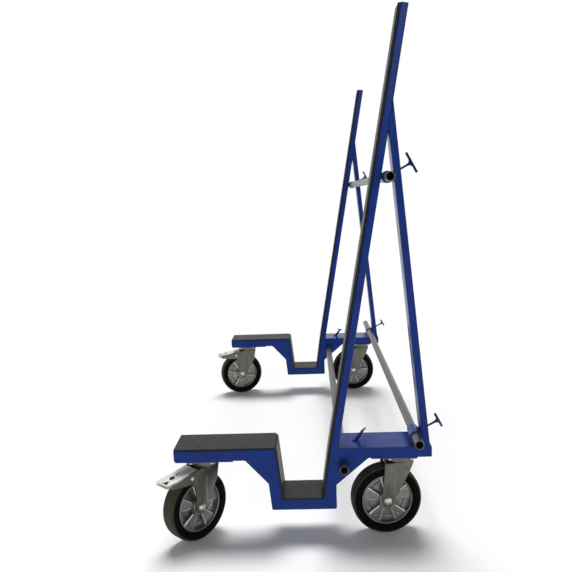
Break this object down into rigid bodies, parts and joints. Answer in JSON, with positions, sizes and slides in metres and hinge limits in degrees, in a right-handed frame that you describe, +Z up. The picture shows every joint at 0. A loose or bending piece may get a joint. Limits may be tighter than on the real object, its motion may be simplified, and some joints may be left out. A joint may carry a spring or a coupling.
{
  "type": "hand truck",
  "caption": "Panel trolley with padded side frames, leaning padded masts, sliding cross tubes locked by T-handle screws, and swivel casters with foot brakes.",
  "frame": {"origin": "on the floor under the middle of the whole trolley's box", "axes": "+Z up, +Y from the near frame to the far frame along the cross tubes, +X from the platform end to the strut end"},
  "size_m": [0.8351, 1.7316, 1.441],
  "materials": {
    "frame_paint": "gloss powder coat, deep blue",
    "rubber_pad": "matt black rubber with a fine grain",
    "cap_plastic": "moulded black plastic",
    "tube_steel": "drawn steel tube, dull grey",
    "screw_paint": "gloss powder coat, dark blue",
    "zinc_sheet": "zinc-plated pressed sheet",
    "zinc_bolt": "zinc-plated fastener",
    "bearing_steel": "ground bearing steel",
    "cast_rim": "cast aluminium, slightly rough",
    "tyre": "solid black rubber"
  },
  "bodies": {
    "near_frame": {"near_side_plates": "frame_paint", "near_deck_skin": "frame_paint", "near_belly_skin": "frame_paint", "near_mount_plates": "frame_paint", "near_mast": "frame_paint", "near_strut": "frame_paint", "near_sleeves": "frame_paint", "near_platform_pad": "rubber_pad", "near_well_pads": "rubber_pad", "near_mast_strip": "rubber_pad", "near_mast_cap": "cap_plastic", "near_caster_bolts": "zinc_bolt", "near_front_top_plate": "zinc_sheet", "near_rear_top_plate": "zinc_sheet"},
    "near_upper_screw": {"near_upper_screw": "screw_paint"},
    "near_rear_screw": {"near_rear_screw": "screw_paint"},
    "near_front_screw": {"near_front_screw": "screw_paint"},
    "near_front_fork": {"near_front_fork": "zinc_sheet", "near_front_axle": "zinc_bolt"},
    "near_front_wheel": {"near_front_bearings": "bearing_steel", "near_front_rim": "cast_rim", "near_front_tyre": "tyre"},
    "near_brake_pedal": {"near_brake_pedal": "zinc_sheet"},
    "near_rear_fork": {"near_rear_fork": "zinc_sheet", "near_rear_axle": "zinc_bolt"},
    "near_rear_wheel": {"near_rear_bearings": "bearing_steel", "near_rear_rim": "cast_rim", "near_rear_tyre": "tyre"},
    "far_frame": {"far_side_plates": "frame_paint", "far_deck_skin": "frame_paint", "far_belly_skin": "frame_paint", "far_mount_plates": "frame_paint", "far_mast": "frame_paint", "far_strut": "frame_paint", "far_sleeves": "frame_paint", "far_platform_pad": "rubber_pad", "far_well_pads": "rubber_pad", "far_mast_strip": "rubber_pad", "far_mast_cap": "cap_plastic", "far_caster_bolts": "zinc_bolt", "far_front_top_plate": "zinc_sheet", "far_rear_top_plate": "zinc_sheet"},
    "far_upper_screw": {"far_upper_screw": "screw_paint"},
    "far_rear_screw": {"far_rear_screw": "screw_paint"},
    "far_front_screw": {"far_front_screw": "screw_paint"},
    "far_front_fork": {"far_front_fork": "zinc_sheet", "far_front_axle": "zinc_bolt"},
    "far_front_wheel": {"far_front_bearings": "bearing_steel", "far_front_rim": "cast_rim", "far_front_tyre": "tyre"},
    "far_brake_pedal": {"far_brake_pedal": "zinc_sheet"},
    "far_rear_fork": {"far_rear_fork": "zinc_sheet", "far_rear_axle": "zinc_bolt"},
    "far_rear_wheel": {"far_rear_bearings": "bearing_steel", "far_rear_rim": "cast_rim", "far_rear_tyre": "tyre"},
    "upper_cross_tube": {"upper_cross_tube": "tube_steel"},
    "rear_cross_tube": {"rear_cross_tube": "tube_steel"},
    "front_cross_tube": {"front_cross_tube": "tube_steel"}
  },
  "joints": [
    {"name": "frame_spacing_slide", "type": "slide", "parent": "near_frame", "child": "far_frame", "axis": [0, 1, 0], "range_m": [-0.9, 0.1]},
    {"name": "upper_tube_slide", "type": "slide", "parent": "near_frame", "child": "upper_cross_tube", "axis": [0, 1, 0], "range_m": [-0.06, 0.06]},
    {"name": "rear_tube_slide", "type": "slide", "parent": "near_frame", "child": "rear_cross_tube", "axis": [0, 1, 0], "range_m": [-0.06, 0.06]},
    {"name": "front_tube_slide", "type": "slide", "parent": "near_frame", "child": "front_cross_tube", "axis": [0, 1, 0], "range_m": [-0.06, 0.035]},
    {"name": "near_upper_screw_turn", "type": "hinge", "parent": "near_frame", "child": "near_upper_screw", "pos_m": [0.26867, -0.76516, 1.006], "axis": [0.8829, 0, 0.4695], "range_deg": [0, 720]},
    {"name": "near_rear_screw_turn", "type": "hinge", "parent": "near_frame", "child": "near_rear_screw", "pos_m": [0.33487, -0.76516, 0.298], "axis": [0.8829, 0, 0.4695], "range_deg": [0, 720]},
    {"name": "near_front_screw_turn", "type": "hinge", "parent": "near_frame", "child": "near_front_screw", "pos_m": [0.13467, -0.73516, 0.2207], "axis": [0.6157, 0, 0.788], "range_deg": [0, 720]},
    {"name": "near_front_swivel", "type": "hinge", "parent": "near_frame", "child": "near_front_fork", "pos_m": [-0.26463, -0.73516, 0.235], "axis": [0, 0, 1], "continuous": true},
    {"name": "near_front_wheel_spin", "type": "hinge", "parent": "near_front_fork", "child": "near_front_wheel", "pos_m": [-0.2914, -0.76488, 0.1], "axis": [-0.7431, 0.6691, 0], "continuous": true},
    {"name": "near_brake_press", "type": "hinge", "parent": "near_front_fork", "child": "near_brake_pedal", "pos_m": [-0.31013, -0.78569, 0.194], "axis": [0.7431, -0.6691, 0], "range_deg": [0, 9]},
    {"name": "near_rear_swivel", "type": "hinge", "parent": "near_frame", "child": "near_rear_fork", "pos_m": [0.29487, -0.73516, 0.235], "axis": [0, 0, 1], "continuous": true},
    {"name": "near_rear_wheel_spin", "type": "hinge", "parent": "near_rear_fork", "child": "near_rear_wheel", "pos_m": [0.25517, -0.74003, 0.1], "axis": [-0.1219, 0.9925, 0], "continuous": true},
    {"name": "far_upper_screw_turn", "type": "hinge", "parent": "far_frame", "child": "far_upper_screw", "pos_m": [0.26867, 0.65485, 1.006], "axis": [0.8829, 0, 0.4695], "range_deg": [0, 720]},
    {"name": "far_rear_screw_turn", "type": "hinge", "parent": "far_frame", "child": "far_rear_screw", "pos_m": [0.33487, 0.65485, 0.298], "axis": [0.8829, 0, 0.4695], "range_deg": [0, 720]},
    {"name": "far_front_screw_turn", "type": "hinge", "parent": "far_frame", "child": "far_front_screw", "pos_m": [0.13467, 0.68485, 0.2207], "axis": [0.6157, 0, 0.788], "range_deg": [0, 720]},
    {"name": "far_front_swivel", "type": "hinge", "parent": "far_frame", "child": "far_front_fork", "pos_m": [-0.26463, 0.68485, 0.235], "axis": [0, 0, 1], "continuous": true},
    {"name": "far_front_wheel_spin", "type": "hinge", "parent": "far_front_fork", "child": "far_front_wheel", "pos_m": [-0.30288, 0.67315, 0.1], "axis": [-0.2924, 0.9563, 0], "continuous": true},
    {"name": "far_brake_press", "type": "hinge", "parent": "far_front_fork", "child": "far_brake_pedal", "pos_m": [-0.32966, 0.66496, 0.194], "axis": [0.2924, -0.9563, 0], "range_deg": [0, 9]},
    {"name": "far_rear_swivel", "type": "hinge", "parent": "far_frame", "child": "far_rear_fork", "pos_m": [0.29487, 0.68485, 0.235], "axis": [0, 0, 1], "continuous": true},
    {"name": "far_rear_wheel_spin", "type": "hinge", "parent": "far_rear_fork", "child": "far_rear_wheel", "pos_m": [0.25487, 0.68485, 0.1], "axis": [0, 1, 0], "continuous": true}
  ]
}
